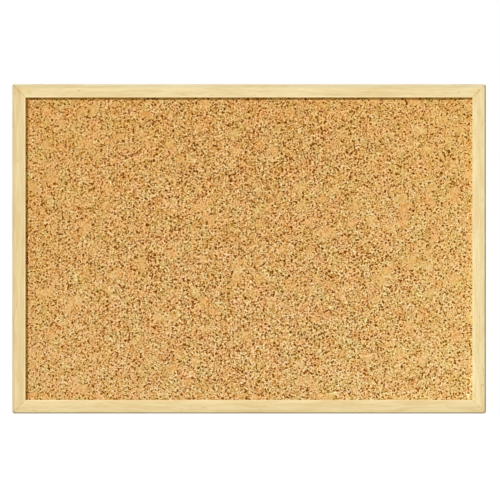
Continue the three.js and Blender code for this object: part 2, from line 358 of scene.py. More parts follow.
# small marks of use, and painted shade at the rounded tips of three corners, placed across and up from
# the middle of the board, in mm
woodMarks = {
    "smudge": {"spot": (-205, 141), "reach": 4.5, "tint": (0.93, 0.87, 0.76, 1)},
    "knot": {"spot": (-195, 138.5), "reach": 3.4, "tint": (0.93, 0.93, 0.84, 1)},
    "speck": {"spot": (185.6, 138), "reach": 1.5, "tint": (0.84, 0.85, 0.78, 1)},
    "knock": {"spot": (207, -121), "reach": 1.6, "tint": (0.78, 0.78, 0.80, 1)},
    # the tips are painted shade on the rounded outer corners, like that on the outer arris
    "tipTopLeft": {"spot": (-209.5, 145.5), "reach": 3.6, "tint": (0.80, 0.84, 0.89, 1)},
    "tipTopRight": {"spot": (209.5, 145.5), "reach": 3.6, "tint": (0.86, 0.87, 0.88, 1)},
    "tipBottomLeft": {"spot": (-209.5, -145.5), "reach": 4.0, "tint": (0.80, 0.84, 0.84, 1)},
    "joint": {"spot": (203.5, 140.5), "reach": 1.8, "tint": (0.84, 0.80, 0.70, 1)},
}
grainGroup = newGroup("paleGrain", {"Vector": "Vector"}, grainMasks)


# how far a point lies past these half sides of the board, across and up, seen from the front
def pastSides(tree, place, halfWidth, halfHeight):
    parts = split(tree, place)
    halves = ((parts[0], halfWidth), (parts[2], halfHeight))
    return [calc(tree, "SUBTRACT", calc(tree, "ABSOLUTE", part), half) for part, half in halves]


def pastRectangle(tree, place, halfWidth, halfHeight):
    across, up = pastSides(tree, place, halfWidth, halfHeight)
    return calc(tree, "MAXIMUM", across, up)


def mitreLine(tree, place):  # how far a point lies from the nearest mitre, seen from the front
    across, up = pastSides(tree, place, boardSize.x / 2, boardSize.z / 2)
    apart = calc(tree, "ABSOLUTE", calc(tree, "SUBTRACT", across, up))
    return calc(tree, "MULTIPLY", apart, math.sqrt(0.5))


def makeWood(side, upright):
    tints = sideTints[side]
    fixed = {"Roughness": woodLook["rough"], "Specular IOR Level": woodLook["shine"]}
    material, tree, shader = newMaterial("paleWood_" + side, fixed)
    place = objectPlace(tree)
    turn = (0, math.radians(90), 0) if upright else (0, 0, 0)
    grain = useGroup(tree, grainGroup, {"Vector": stretched(tree, place, (1, 1, 1), turn)})
    fibre = centred(tree, grain["Fibre"])
    tone = calc(tree, "MULTIPLY_ADD", fibre, woodLook["fibreSwing"], grain["Streak"])
    color = blend(tree, tone, woodLook["deep"], woodLook["pale"])
    flecked = calc(tree, "MULTIPLY", grain["Fleck"], woodLook["fleckDepth"])
    color = blend(tree, flecked, color, woodLook["fleck"])
    color = multiplied(tree, color, tints["all"])

    depth = split(tree, place)[1]
    deepest = cadLow.y + 2 * woodLook["edgeDepth"]
    front = remap(tree, depth, deepest, cadLow.y + woodLook["edgeDepth"])
    width = tints["edgeWidth"]
    edge = pastRectangle(tree, place, boardSize.x / 2 - width, boardSize.z / 2 - width)
    arrisShade = remap(tree, edge, 0.0, woodLook["edgeFade"] * width)
    # painted shade on the outer arris, darkest on the right and bottom sides
    color = tinted(tree, color, calc(tree, "MULTIPLY", front, arrisShade), tints["edge"])
    width = woodLook["lipWidth"]
    lip = pastRectangle(tree, place, openingHalf.x + width, openingHalf.z + width)
    # painted highlight on the strip along the opening
    color = tinted(tree, color, remap(tree, lip, 0.0, -woodLook["lipFade"]), tints["lip"])

    blotch = noise(tree, place, **woodLook["blotch"])["Fac"]
    uneven = remap(tree, blotch, *woodLook["blotchRange"])
    width = woodLook["glueWidth"]
    glue = remap(tree, mitreLine(tree, place), width, woodLook["glueCore"] * width)
    color = tinted(tree, color, calc(tree, "MULTIPLY", glue, uneven), woodLook["glue"])
    for mark in woodMarks.values():
        across, up = mark["spot"]
        reach = mark["reach"] * mm
        away = vectorCalc(tree, "DISTANCE", place, (across * mm, cadLow.y, up * mm))
        swing = woodLook["markRagged"] * reach
        ragged = calc(tree, "MULTIPLY_ADD", centred(tree, blotch), swing, away)
        shown = remap(tree, ragged, reach, woodLook["markCore"] * reach)
        color = tinted(tree, color, shown, mark["tint"])
    tree.links.new(color, shader.inputs["Base Color"])
    addBump(tree, shader, grain["Height"], woodLook["bump"], woodLook["bumpDepth"])
    return material


# the four mitred sides of the frame
railLook = {
    "outerRound": 1.5 * mm,  # each rounded arris with the steps of its curve
    "outerSteps": 6,
    "innerRound": 0.4 * mm,
    "innerSteps": 3,
    "backRound": 0.5 * mm,
    "backSteps": 3,
    "cornerRound": 2.6 * mm,
    "cornerFacets": 4,  # of the half of an outer corner that a side has
    "lip": 2.5 * mm,  # thickness of the front lip
    "lipOverlap": 4.0 * mm,
    "mitreGap": 0.06 * mm,
    "mitreEase": 0.08 * mm,  # softened edge of a mitre
}


def longEdges(bm, y, z):  # edges that run along a side at this place in its section
    def onLine(v):
        return abs(v.co.y - y) < same and abs(v.co.z - z) < same
    return [edge for edge in bm.edges if all(onLine(v) for v in edge.verts)]


def sliceOff(bm, point, normal):  # cuts away what lies past a plane and closes the cut
    geom = bm.verts[:] + bm.edges[:] + bm.faces[:]
    cut = bmesh.ops.bisect_plane(bm, geom=geom, dist=same, plane_co=point, plane_no=normal,
                                 clear_outer=True)
    rim = ofKind(cut["geom_cut"], bmesh.types.BMEdge)
    bmesh.ops.holes_fill(bm, edges=rim, sides=0)


# a side lies along X with its outer edge on z = 0, then it is turned about Y and put in its place
def makeSide(name, length, turn, spot, material):
    bm = bmesh.new()
    wall = railFace - railLook["lipOverlap"]
    lipBack = -railDepth + railLook["lip"]
    section = ((0, 0), (-railDepth, 0), (-railDepth, -railFace),
               (lipBack, -railFace), (lipBack, -wall), (0, -wall))
    end = bm.faces.new([bm.verts.new((-length / 2, y, z)) for y, z in section])
    runStraight(bm, end, (length, 0, 0))
    faceOutward(bm)
    for arris, y, z in (("outer", -railDepth, 0), ("inner", -railDepth, -railFace), ("back", 0, 0)):
        roundOver(bm, longEdges(bm, y, z), railLook[arris + "Round"], railLook[arris + "Steps"])
    corner = railLook["cornerRound"]
    facets = railLook["cornerFacets"]
    for hand in (-1, 1):
        for facet in range(facets):
            angle = math.radians(45 * (facet + 0.5) / facets)
            out = Vector((hand * math.sin(angle), 0, math.cos(angle)))
            middle = Vector((hand * (length / 2 - corner), 0, -corner))
            sliceOff(bm, middle + out * corner, out)
        out = Vector((hand, 0, -1)).normalized()
        mitre = Vector((hand * length / 2, 0, 0)) - out * railLook["mitreGap"] / 2
        sliceOff(bm, mitre, out)
        eased = mitre - out * railLook["mitreEase"]
        sliceOff(bm, eased + Vector((0, -railDepth, 0)), out + Vector((0, -1, 0)))
        sliceOff(bm, eased, out + Vector((0, 1, 0)))
    bmesh.ops.remove_doubles(bm, verts=bm.verts, dist=same)
    bmesh.ops.dissolve_degenerate(bm, edges=bm.edges, dist=same)
    shadeByAngle(bm)
    made = newObject("side_" + name, placed(bm, turn, spot), material)
    dress(made, "board", "pale_wood", "frame_" + name)
    return made


sidePlans = {  # turn in degrees
    "top": {"length": boardSize.x, "turn": 0, "spot": Vector((0, 0, cadHigh.z))},
    "right": {"length": boardSize.z, "turn": 90, "spot": Vector((cadHigh.x, 0, 0))},
    "bottom": {"length": boardSize.x, "turn": 180, "spot": Vector((0, 0, cadLow.z))},
    "left": {"length": boardSize.z, "turn": -90, "spot": Vector((cadLow.x, 0, 0))},
}
sides = {}
for side, plan in sidePlans.items():
    wood = makeWood(side, side in ("left", "right"))
    sides[side] = makeSide(side, plan["length"], math.radians(plan["turn"]), plan["spot"], wood)
print("frame sides made")


# cork: one flat pattern, used by the material and by the relief so that both agree
corkLook = {
    "color": (226.6, 173, 104),  # on screen
    "rough": 0.95,
    "chip": 7.4,  # size of a cork chip, mm
    "push": {"scale": 0.3, "rough": 0.6},  # what pushes the chips out of shape
    "warp": 1.6,  # and how far, mm
    "fineSide": 1.06,  # scale of the pattern at the upper left, where the chips are finer
    "coarseSide": 1.03,  # and at the lower right
    "scaleReach": 340,  # between them, across and down together, mm from the middle
    "plainShare": 0.06,  # of the chips that are smooth
    "plainFade": 0.02,
    "plainCalm": 0.45,  # share of the grain that is missing there
    "plainBare": 0.8,  # and of the strokes
    "grain": 0.8,  # size of the cells that show in a chip, mm
    "darkShare": 0.492,  # of the cells
    "grainDrop": 91,  # how much darker and lighter they are, in screen levels
    "grainLift": (-4, 40),
    "dust": {"scale": 2.56, "rough": 0.7},  # between them
    "crowd": {"scale": 0.16, "rough": 0.6},  # where strokes and seams crowd
    "seamWidth": 0.06,  # dark seam round a chip, of its size
    "seamCrowd": (0.4, 0.6),
    "stroke": 2.5,  # distance between dark strokes that lie one way, mm
    "strokeTurns": (0.5, 1.55, 2.6),  # the ways they lie
    "strokeLength": 1.5,  # length over width
    "strokeShare": 0.45,  # of the places that have one
    "strokeFade": 0.02,
    "strokeThin": 0.17,  # half its width, of the distance
    "strokeThick": 0.42,
    "strokeCore": 0.35,  # share of it that is fully dark
    "strokeFaint": 0.5,  # how dark the thinnest one is beside the thickest
    "strokeCrowd": 0.414,  # how much they crowd together
    "rimWidth": 0.6,  # pale rim round a stroke, of the distance
    "rimStart": 0.1,  # share of it that is fully pale
    "patch": {"scale": 0.06, "rough": 0.6},  # patches of a warmer or greyer hue
    "patchRange": (0.3, 0.7),
    "chipHue": 0.35,  # what a chip's own hue adds to its patch
    "halfWidth": 200,  # that Across and Down run over, mm
    "halfHeight": 134,
    "darkest": -150,  # screen levels that the shades run between
    "lightest": 70,
    "shadeSteps": 9,
    "dropGains": (0.79, 0.845, 1.07),  # how each channel follows a darker or a lighter level
    "liftGains": (0.50, 0.96, 1.12),
    "middleContrast": 1.08,  # the contrast falls from the middle to the corners
    "sideContrast": 0.82,
    "calmReach": (0.15, 0.55),  # over this share of the width
    "calmFlat": 0.6,  # and less so up and down
    "reliefCell": 1.1 * mm,  # grid of the modelled relief
    "reliefDepth": 0.3 * mm,
    "domeWidth": 0.18,  # rounded edge of a chip, of its size
    "chipHeights": (0.35, 0.75),  # of the relief
    "swell": {"scale": 0.4, "detail": 1.0},
    "swellHeight": 0.3,
    "fineBump": 0.1,
    "fineDepth": 0.25 * mm,
    "smoothAngle": 60,
}
# what each part of the pattern adds, in screen levels
corkLevels = {"Dust": 38.5, "Plain": 9, "Rim": 23.7, "Stroke": -178, "Seam": -12}
# what the colour is multiplied by along each value of the pattern
corkTints = {
    "Light": [(0.0, (0.99, 0.93, 0.88, 1)), (1.0, (1.01, 1.07, 1.12, 1))],  # browner, paler chips
    "Red": [(0.0, (0.966, 1.036, 1.0, 1)), (1.0, (1.034, 0.964, 1.0, 1))],  # greener, pinker patches
    "Blue": [(0.0, (1.0, 1.0, 0.93, 1)), (1.0, (1.0, 1.0, 1.07, 1))],  # yellower, greyer ones
    # paler towards the bottom and the right
    "Down": [(0.0, (0.986, 0.954, 0.88, 1)), (1.0, (1.014, 1.046, 1.12, 1))],
    "Across": [(0.0, (1.0, 1.012, 1.02, 1)), (0.4, (1.0, 1.0, 1.0, 1)),
               (0.6, (1.0, 1.0, 1.0, 1)), (1.0, (1.055, 1.114, 1.145, 1))],
    "Corner": [(0.35, (1.0, 1.0, 1.0, 1)), (0.9, (1.03, 1.075, 1.10, 1))],
}
# painted shade along the top, left and bottom of the frame's opening and painted bounce light along its
# right, and how far each reaches, mm
corkEdgeShading = {
    "top": {"tint": (0.96, 0.92, 0.55, 1), "reach": 2.4},
    "left": {"tint": (0.97, 0.93, 0.55, 1), "reach": 2.4},
    "bottom": {"tint": (0.84, 0.90, 0.96, 1), "reach": 2.6},
    "right": {"tint": (0.95, 1.05, 1.16, 1), "reach": 2.6},
}


# dark strokes that lie several ways, and the pale rim round each
def corkStrokes(tree, bent, crowd, plain):
    dark = 0.0
    rim = 0.0
    rare = 1 - corkLook["strokeShare"]
    crowding = calc(tree, "MULTIPLY", centred(tree, crowd), corkLook["strokeCrowd"])
    for turn in corkLook["strokeTurns"]:
        way = turned(tree, bent, turn, (1, 1 / corkLook["strokeLength"], 1))
        dot = cells(tree, way, corkLook["stroke"])
        chance = calc(tree, "ADD", split(tree, dot["Color"])[1], crowding)
        depth = remap(tree, chance, rare, 1, corkLook["strokeFaint"], 1.0, smooth=False)
        there = remap(tree, chance, rare, rare + corkLook["strokeFade"])
        there = calc(tree, "MULTIPLY", there, depth)
        thin, thick = corkLook["strokeThin"], corkLook["strokeThick"]
        size = remap(tree, chance, rare, 1, thin, thick, smooth=False)
        inside = calc(tree, "DIVIDE", dot["Distance"], size)
        core = remap(tree, inside, 1.0, corkLook["strokeCore"])
        past = calc(tree, "SUBTRACT", dot["Distance"], size)
        width = corkLook["rimWidth"]
        ring = remap(tree, past, width, corkLook["rimStart"] * width)
        dark = calc(tree, "MAXIMUM", dark, calc(tree, "MULTIPLY", core, there))
        rim = calc(tree, "MAXIMUM", rim, calc(tree, "MULTIPLY", ring, there))
    busy = calc(tree, "MULTIPLY_ADD", plain, -corkLook["plainBare"], 1.0)
    around = calc(tree, "MULTIPLY", calc(tree, "SUBTRACT", 1.0, dark), busy)
    return calc(tree, "MULTIPLY", dark, busy), calc(tree, "MULTIPLY", rim, around)


def corkPattern(tree, place):
    parts = split(tree, place)
    across = calc(tree, "MULTIPLY", parts[0], 1 / mm)
    up = calc(tree, "MULTIPLY", parts[2], 1 / mm)
    slant = calc(tree, "SUBTRACT", across, up)
    reach = corkLook["scaleReach"]
    fine, coarse = corkLook["fineSide"], corkLook["coarseSide"]
    scale = remap(tree, slant, -reach, reach, fine, coarse, smooth=False)
    scaled = {0: calc(tree, "MULTIPLY", across, scale), 1: calc(tree, "MULTIPLY", up, scale)}
    sheet = addNode(tree, "ShaderNodeCombineXYZ", scaled).outputs[0]
    push = noise(tree, sheet, flat=True, **corkLook["push"])["Color"]
    bent = pushed(tree, sheet, push, corkLook["warp"])
    crowd = noise(tree, sheet, flat=True, **corkLook["crowd"])["Fac"]

    chip = split(tree, cells(tree, bent, corkLook["chip"])["Color"])  # three random values
    chipEdge = cells(tree, bent, corkLook["chip"], "DISTANCE_TO_EDGE")["Distance"]
    share = corkLook["plainShare"]
    plain = remap(tree, chip[2], share + corkLook["plainFade"], share)
    chance = split(tree, cells(tree, bent, corkLook["grain"])["Color"])[0]
    share = corkLook["darkShare"]
    drop = remap(tree, chance, 0, share, -corkLook["grainDrop"], 0, smooth=False)
    lift = remap(tree, chance, share, 1, *corkLook["grainLift"], smooth=False)
    rough = calc(tree, "MULTIPLY_ADD", plain, -corkLook["plainCalm"], 1.0)
    grain = calc(tree, "MULTIPLY", calc(tree, "ADD", drop, lift), rough)
    dust = centred(tree, noise(tree, sheet, flat=True, **corkLook["dust"])["Fac"])
    seam = remap(tree, chipEdge, corkLook["seamWidth"], 0.0)
    seam = calc(tree, "MULTIPLY", seam, remap(tree, crowd, *corkLook["seamCrowd"]))
    dark, rim = corkStrokes(tree, bent, crowd, plain)

    patch = split(tree, noise(tree, bent, flat=True, **corkLook["patch"])["Color"])
    hues = []
    for axis in (0, 1):
        hue = remap(tree, patch[axis], *corkLook["patchRange"], smooth=False)
        own = centred(tree, chip[axis])
        hues.append(calc(tree, "MULTIPLY_ADD", own, corkLook["chipHue"], hue))
    dome = remap(tree, chipEdge, 0.0, corkLook["domeWidth"])
    chipTop = remap(tree, chip[1], 0, 1, *corkLook["chipHeights"], smooth=False)
    swell = noise(tree, bent, flat=True, **corkLook["swell"])["Fac"]
    domed = calc(tree, "MULTIPLY", dome, chipTop)
    relief = calc(tree, "MULTIPLY_ADD", swell, corkLook["swellHeight"], domed)
    pits = calc(tree, "SUBTRACT", dust, dark)
    pitted = calc(tree, "MULTIPLY_ADD", grain, 1 / corkLook["grainDrop"], pits)
    width, height = corkLook["halfWidth"], corkLook["halfHeight"]
    rightward = remap(tree, across, -width, width, smooth=False)
    downward = remap(tree, up, height, -height, smooth=False)
    corner = calc(tree, "MULTIPLY", downward, rightward)
    return {"Across": rightward, "Down": downward, "Corner": corner, "Red": hues[0], "Blue": hues[1],
            "Light": chip[1], "Plain": plain, "Grain": grain, "Dust": dust, "Seam": seam,
            "Stroke": dark, "Rim": rim, "Relief": relief, "Fine": pitted}


def shadeOffset(level):  # the cork's own colour, lighter or darker by so many screen levels
    gains = corkLook["dropGains"] if level < 0 else corkLook["liftGains"]
    return screenColor(*(channel + level * gain for channel, gain in zip(corkLook["color"], gains)))


def makeCork():
    fixed = {"Roughness": corkLook["rough"], "Specular IOR Level": 0.0}
    material, tree, shader = newMaterial("pressedCork", fixed)
    place = objectPlace(tree)
    group = newGroup("corkGrain", {"Vector": "Vector"},
                     lambda inner, given: corkPattern(inner, given["Vector"]))
    look = useGroup(tree, group, {"Vector": place})
    darkest = corkLook["darkest"]
    span = corkLook["lightest"] - darkest
    level = calc(tree, "MULTIPLY", look["Grain"], 1 / span)
    for name, levels in corkLevels.items():
        level = calc(tree, "MULTIPLY_ADD", look[name], levels / span, level)
    across = centred(tree, look["Across"])
    down = calc(tree, "MULTIPLY", centred(tree, look["Down"]), corkLook["calmFlat"])
    apart = calc(tree, "MULTIPLY_ADD", across, across, calc(tree, "MULTIPLY", down, down))
    away = calc(tree, "SQRT", apart)
    contrasts = corkLook["middleContrast"], corkLook["sideContrast"]
    calm = remap(tree, away, *corkLook["calmReach"], *contrasts)
    level = calc(tree, "MULTIPLY_ADD", level, calm, -darkest / span)
    steps = corkLook["shadeSteps"]
    stops = [step / steps for step in range(steps + 1)]
    color = ramp(tree, level, [(stop, shadeOffset(darkest + span * stop)) for stop in stops])
    for name, tints in corkTints.items():
        color = multiplied(tree, color, ramp(tree, look[name], tints))
    parts = split(tree, place)
    outward = {"top": (parts[2], openingHalf.z), "left": (parts[0], -openingHalf.x),
               "bottom": (parts[2], -openingHalf.z), "right": (parts[0], openingHalf.x)}
    # painted shade and painted bounce light on the cork along the opening
    for side, edge in corkEdgeShading.items():
        along, rim = outward[side]
        inner = rim - math.copysign(edge["reach"] * mm, rim)
        color = tinted(tree, color, remap(tree, along, inner, (rim + inner) / 2), edge["tint"])
    tree.links.new(color, shader.inputs["Base Color"])
    addBump(tree, shader, look["Fine"], corkLook["fineBump"], corkLook["fineDepth"])
    return material


def makeCorkSheet():
    low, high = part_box("cork_sheet")
    size = high - low
    middle = (low + high) / 2
    steps = [max(1, round(side / corkLook["reliefCell"])) for side in (size.x, size.z)]
    bm = bmesh.new()
    lie = facing((middle.x, low.y, middle.z), "X") @ Matrix.Diagonal((size.x, size.z, 1, 1))
    bmesh.ops.create_grid(bm, x_segments=steps[0], y_segments=steps[1], size=0.5, matrix=lie)
    rim = [edge for edge in bm.edges if edge.is_boundary]
    walls = bmesh.ops.extrude_edge_only(bm, edges=rim)["geom"]
    bmesh.ops.translate(bm, vec=(0, size.y, 0), verts=ofKind(walls, bmesh.types.BMVert))
    bmesh.ops.holes_fill(bm, edges=[edge for edge in bm.edges if edge.is_boundary], sides=0)
    shadeByAngle(bm, corkLook["smoothAngle"])
    made = newObject("cork_face", bm, makeCork())

    def sunken(tree, given):  # the front sinks where the pattern is low
        place = tree.nodes.new("GeometryNodeInputPosition").outputs[0]
        hollow = calc(tree, "SUBTRACT", 1.0, corkPattern(tree, place)["Relief"])
        sink = calc(tree, "MULTIPLY", hollow, corkLook["reliefDepth"])
        front = calc(tree, "LESS_THAN", split(tree, place)[1], middle.y)
        inward = {1: calc(tree, "MULTIPLY", sink, front)}
        offset = addNode(tree, "ShaderNodeCombineXYZ", inward).outputs[0]
        inputs = {"Geometry": given["Geometry"], "Offset": offset}
        return {"Geometry": addNode(tree, "GeometryNodeSetPosition", inputs).outputs[0]}

    relief = made.modifiers.new("relief", "NODES")
    relief.node_group = newGroup("corkRelief", {"Geometry": "Geometry"}, sunken,
                                 "GeometryNodeTree", "Geometry")
    applyTool(made, relief)
    dress(made, "board", "cork", "cork_sheet")
    return made


cork = makeCorkSheet()
print("cork made:", len(cork.data.polygons), "faces")


# bright plating and plain nail steel share one group
steelSkin = {
    "haze": {"scale": 420.0, "detail": 3.0, "rough": 0.6},
    "hazeShare": 0.5,  # beside the spangle
    "scratchRepeats": (900, 900, 9000),  # per metre
    "scratchTurn": (0.2, 0.5, 0.3),
    "scratch": {"detail": 1.0},
    "scratchRange": (0.58, 0.72),
    "stain": {"scale": 150.0, "detail": 4.0, "rough": 0.7},
    "stainRange": (0.52, 0.72),
    "stainDepth": 0.6,  # how fully a stain shows
    "bump": 0.12,
    "bumpDepth": 0.02 * mm,
}
steelLook = {
    "zinc": {"bright": screenColor(222, 225, 228), "dull": screenColor(176, 182, 190),
             "stain": screenColor(150, 150, 146), "smooth": 0.24, "rough": 0.46, "spangle": 1100.0},
    "nail": {"bright": screenColor(186, 187, 190), "dull": screenColor(138, 140, 145),
             "stain": screenColor(112, 100, 88), "smooth": 0.34, "rough": 0.6, "spangle": 1900.0},
}


def steelMasks(tree, given):
    vector = given["Vector"]
    inputs = {"Vector": vector, "Scale": given["Scale"]}
    spangle = addNode(tree, "ShaderNodeTexVoronoi", inputs, voronoi_dimensions="3D").outputs["Color"]
    haze = noise(tree, vector, **steelSkin["haze"])["Fac"]
    mottle = blend(tree, steelSkin["hazeShare"], spangle, haze)
    way = stretched(tree, vector, steelSkin["scratchRepeats"], steelSkin["scratchTurn"])
    lines = noise(tree, way, **steelSkin["scratch"])["Fac"]
    stain = noise(tree, vector, **steelSkin["stain"])["Fac"]
    return {"Mottle": split(tree, mottle)[0],
            "Scratch": remap(tree, lines, *steelSkin["scratchRange"]),
            "Stain": remap(tree, stain, *steelSkin["stainRange"])}


steelGroup = newGroup("steelSkin", {"Vector": "Vector", "Scale": "Float"}, steelMasks)


def makeSteel(name):
    look = steelLook[name]
    material, tree, shader = newMaterial(name + "Steel", {"Metallic": 1.0})
    skin = useGroup(tree, steelGroup, {"Vector": objectPlace(tree), "Scale": look["spangle"]})
    color = blend(tree, skin["Mottle"], look["dull"], look["bright"])
    stained = calc(tree, "MULTIPLY", skin["Stain"], steelSkin["stainDepth"])
    color = blend(tree, stained, color, look["stain"])
    tree.links.new(color, shader.inputs["Base Color"])
    worn = calc(tree, "MAXIMUM", skin["Scratch"], skin["Stain"])
    rough = remap(tree, worn, 0, 1, look["smooth"], look["rough"], smooth=False)
    tree.links.new(rough, shader.inputs["Roughness"])
    height = calc(tree, "SUBTRACT", skin["Mottle"], skin["Scratch"])
    addBump(tree, shader, height, steelSkin["bump"], steelSkin["bumpDepth"])
    return material


zincSteel = makeSteel("zinc")
nailSteel = makeSteel("nail")


# flat points that hold the panel, and the nails bent to a V across the mitres
pointLook = {"ease": 0.08 * mm, "tip": 2.5 * mm, "slotRoom": 0.06 * mm}
nailLook = {
    "leg": 3.5 * mm,
    "thickness": 0.5 * mm,
    "halfAngle": 50,  # degrees
    "ease": 0.05 * mm,
    "slotRoom": 0.06 * mm,
    "slotEnd": 1 * mm,  # how far its slot is cut past the back of the frame
}


# a plate cut to an outline of x and z, between two levels of y
def platePrism(outline, fromY, toY):
    bm = bmesh.new()
    face = bm.faces.new([bm.verts.new((x, fromY, z)) for x, z in outline])
    runStraight(bm, face, (0, toY - fromY, 0))
    faceOutward(bm)
    return bm


def pointPrism(name, room):  # tip towards the outside of the frame
    low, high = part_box(name)
    side = name.split("_")[2]
    turn = math.radians(sidePlans[side]["turn"])
    flat = Matrix.Rotation(-turn, 4, "Y")
    corners = [flat @ low, flat @ high]
    left, right = sorted(corner.x for corner in corners)
    foot, tip = sorted(corner.z for corner in corners)
    shoulder = tip + room - pointLook["tip"]
    outline = [(left - room, foot - room), (right + room, foot - room), (right + room, shoulder),
               ((left + right) / 2, tip + room), (left - room, shoulder)]
    return placed(platePrism(outline, low.y - room, high.y + room), turn, Vector())


def nailPrism(corner, room):  # tip towards the frame's outer corner, legs into both sides
    low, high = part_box("corner_nail_" + corner)
    middle = (low + high) / 2
    out = Vector((math.copysign(1, middle.x), 0, math.copysign(1, middle.z))).normalized()
    across = Vector((-out.z, 0, out.x))
    half = math.radians(nailLook["halfAngle"])
    along = nailLook["leg"] * math.cos(half)
    sideways = nailLook["leg"] * math.sin(half) + room
    wall = (nailLook["thickness"] / 2 + room) / math.sin(half)
    # the V is wider than it is deep, so its legs end level with the middle of its box
    steps = [(along + wall, 0), (wall, sideways), (-wall, sideways),
             (along - wall, 0), (-wall, -sideways), (wall, -sideways)]
    spots = [middle + out * a + across * b for a, b in steps]
    back = high.y + (nailLook["slotEnd"] if room else 0)
    return platePrism([(spot.x, spot.z) for spot in spots], low.y - room, back)


def finishNail(name, bm, ease, node):
    easeEdges(bm, ease)
    shadeByAngle(bm)
    dress(newObject(name, bm, nailSteel), "board", "nail_steel", node)


pointNames = [name for name in frame["nodes"] if name.startswith("panel_point_")]
for name in pointNames:
    slot = newObject("cutter", pointPrism(name, pointLook["slotRoom"]), nailSteel)
    cutOut(sides[name.split("_")[2]], slot)
    finishNail(name.replace("panel_", ""), pointPrism(name, 0), pointLook["ease"], name)
for corner in ("top_left", "top_right", "bottom_left", "bottom_right"):
    for side in corner.split("_"):
        slot = newObject("cutter", nailPrism(corner, nailLook["slotRoom"]), nailSteel)
        cutOut(sides[side], slot)
    finishNail("nail_" + corner, nailPrism(corner, 0), nailLook["ease"], "corner_nail_" + corner)
print("points and nails made")


# ring hangers: strap, eyelet and ring, all about the ring's axis
hangerLook = {
    "strapThickness": 0.6 * mm,
    "strapEndSteps": 24,
    "curl": 290,  # degrees that the strap's end is rolled round the ring
    "curlSteps": 40,
    "strapEase": 0.09 * mm,
    "strapEaseSteps": 2,
    "holeRoom": 0.1 * mm,  # round the eyelet's shank
    "holeSides": 32,
    "holeDepth": 2 * mm,
    "wire": 1.6 * mm,
    "wireSides": 20,
    "wireSmooth": 40,  # degrees
    "bend": 2.0 * mm,  # radius of the ring's two bends
    "bendSteps": 10,
    "archSteps": 40,
    "buttGap": 0.5 * mm,  # between the ends of the wire
    "buttEase": 0.2 * mm,
    "buttEaseSteps": 2,
    "sharp": 60,  # degrees, of the edges that are rounded on wire and eyelet
    "shank": 1.5 * mm,  # radii of the eyelet
    "bore": 1.0 * mm,
    "flangeLip": 0.5 * mm,  # thickness of the eyelet's flanges
    "flangeRoll": 0.45 * mm,
    "flangeRollSteps": 4,
    "eyeletSteps": 40,
}


def makeRing(side, axis):
    low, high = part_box("hanger_ring_" + side)
    wire = hangerLook["wire"]
    bend = hangerLook["bend"]
    gap = hangerLook["buttGap"] / 2
    half = (high.x - low.x - wire) / 2
    arch = low.z + wire / 2 + half  # height of the arch's centre
    straight = half - bend
    fall = axis.z - bend - arch
    bendAxis = (0, 1, 0)
    right = axis + Vector((straight, 0, -bend))  # centres of the bends
    left = axis + Vector((-straight, 0, -bend))
    bm = bmesh.new()
    start = facing(axis + Vector((gap, 0, 0)), "Y")
    bmesh.ops.create_circle(bm, cap_ends=True, segments=hangerLook["wireSides"], radius=wire / 2,
                            matrix=start)
    bm.faces.ensure_lookup_table()
    face = runStraight(bm, bm.faces[0], (straight - gap, 0, 0))
    face = runRound(bm, face, right, bendAxis, 90, hangerLook["bendSteps"])
    face = runStraight(bm, face, (0, 0, -fall))
    face = runRound(bm, face, (axis.x, axis.y, arch), bendAxis, 180, hangerLook["archSteps"])
    face = runStraight(bm, face, (0, 0, fall))
    face = runRound(bm, face, left, bendAxis, 90, hangerLook["bendSteps"])
    runStraight(bm, face, (straight - gap, 0, 0))
    dropInside(bm)
    faceOutward(bm)
    easeEdges(bm, hangerLook["buttEase"], hangerLook["buttEaseSteps"], hangerLook["sharp"])
    shadeByAngle(bm, hangerLook["wireSmooth"])
    dress(newObject("ring_" + side, bm, zincSteel), "ring_" + side, "zinc_steel", "hanger_ring_" + side)


def makeStrap(side, axis):
    low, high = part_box("hanger_strap_" + side)
    endRound = (high.x - low.x) / 2
    bm = bmesh.new()
    first = bm.verts.new((high.x, low.y, low.z + endRound))
    middle = (axis.x, low.y, low.z + endRound)
    bmesh.ops.spin(bm, geom=[first], cent=middle, axis=(0, 1, 0), angle=math.pi,
                   steps=hangerLook["strapEndSteps"])
    curve = bm.verts[:]
    rim = [bm.verts.new((x, low.y, axis.z)) for x in (low.x, high.x)]
    for end in rim:
        nearest = min(curve, key=lambda v: (v.co - end.co).length)
        bm.edges.new((end, nearest))
    bm.edges.new(rim)
    face = bmesh.ops.contextual_create(bm, geom=bm.edges[:])["faces"][0]
    runStraight(bm, face, (0, hangerLook["strapThickness"], 0))
    faceOutward(bm)
    top = max(bm.faces, key=lambda face: face.calc_center_median().z)
    runRound(bm, top, axis, (1, 0, 0), -hangerLook["curl"], hangerLook["curlSteps"])
    dropInside(bm)
    faceOutward(bm)
    easeEdges(bm, hangerLook["strapEase"], hangerLook["strapEaseSteps"])
    shadeByAngle(bm)
    made = newObject("strap_" + side, bm, zincSteel)
    eyeLow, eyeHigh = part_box("hanger_eyelet_" + side)
    hole = bmesh.new()
    center = facing((axis.x, low.y, (eyeLow.z + eyeHigh.z) / 2), "X")
    radius = hangerLook["shank"] + hangerLook["holeRoom"]
    bmesh.ops.create_cone(hole, cap_ends=True, segments=hangerLook["holeSides"], radius1=radius,
                          radius2=radius, depth=hangerLook["holeDepth"], matrix=center)
    cutOut(made, newObject("cutter", hole, zincSteel))
    dress(made, "board", "zinc_steel", "hanger_strap_" + side)


